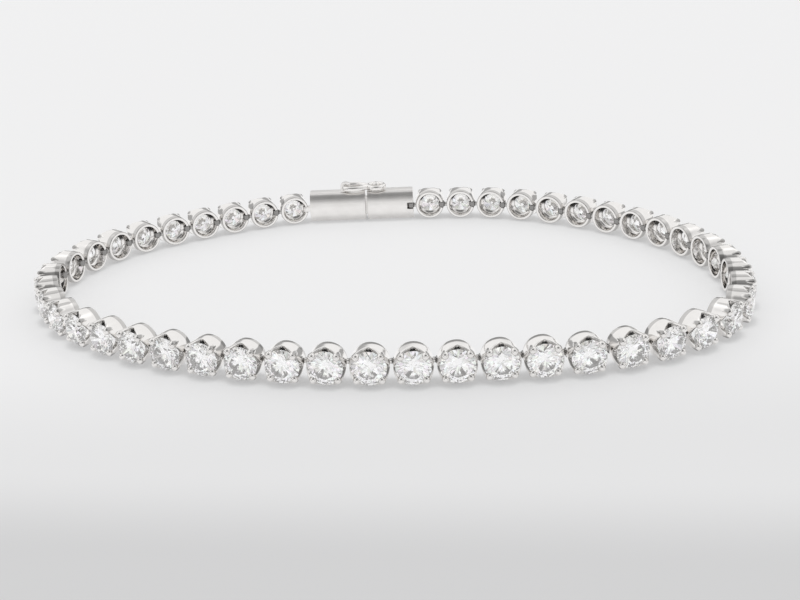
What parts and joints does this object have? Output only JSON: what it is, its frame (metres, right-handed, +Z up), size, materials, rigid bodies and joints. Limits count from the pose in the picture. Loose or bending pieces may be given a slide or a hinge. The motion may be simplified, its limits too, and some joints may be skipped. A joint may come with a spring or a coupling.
{
  "type": "tennis bracelet",
  "caption": "Flexible bracelet of round brilliant stones in four-claw cups, closed by a box clasp with a wire safety catch.",
  "frame": {"origin": "middle of the loop as laid, on the surface that it stands on", "axes": "+X across the loop's longest way, with the clasp on the +Y side; +Z up along the wrist opening"},
  "size_m": [0.0704, 0.0486, 0.0045],
  "materials": {
    "white_gold": "mirror-polished white gold",
    "diamond": "cut and polished, clear"
  },
  "bodies": {
    "bracelet": {"link_01": "white_gold", "link_02": "white_gold", "link_03": "white_gold", "link_04": "white_gold", "link_05": "white_gold", "link_06": "white_gold", "link_07": "white_gold", "link_08": "white_gold", "link_09": "white_gold", "link_10": "white_gold", "link_11": "white_gold", "link_12": "white_gold", "link_13": "white_gold", "link_14": "white_gold", "link_15": "white_gold", "link_16": "white_gold", "link_17": "white_gold", "link_18": "white_gold", "link_19": "white_gold", "link_20": "white_gold", "link_21": "white_gold", "link_22": "white_gold", "link_23": "white_gold", "link_24": "white_gold", "link_25": "white_gold", "link_26": "white_gold", "link_27": "white_gold", "link_28": "white_gold", "link_29": "white_gold", "link_30": "white_gold", "link_31": "white_gold", "link_32": "white_gold", "link_33": "white_gold", "link_34": "white_gold", "link_35": "white_gold", "link_36": "white_gold", "link_37": "white_gold", "link_38": "white_gold", "link_39": "white_gold", "link_40": "white_gold", "link_41": "white_gold", "link_42": "white_gold", "link_43": "white_gold", "link_44": "white_gold", "link_45": "white_gold", "link_46": "white_gold", "clasp_box": "white_gold", "clasp_tongue": "white_gold"},
    "safety_catch": {"safety_catch": "white_gold"}
  },
  "joints": [
    {"name": "safety_catch_hinge", "type": "hinge", "parent": "bracelet", "child": "safety_catch", "pos_m": [-0.00434, 0.0228, 0.00391], "axis": [-0.0278, -0.9996, 0], "range_deg": [0, 110]}
  ]
}
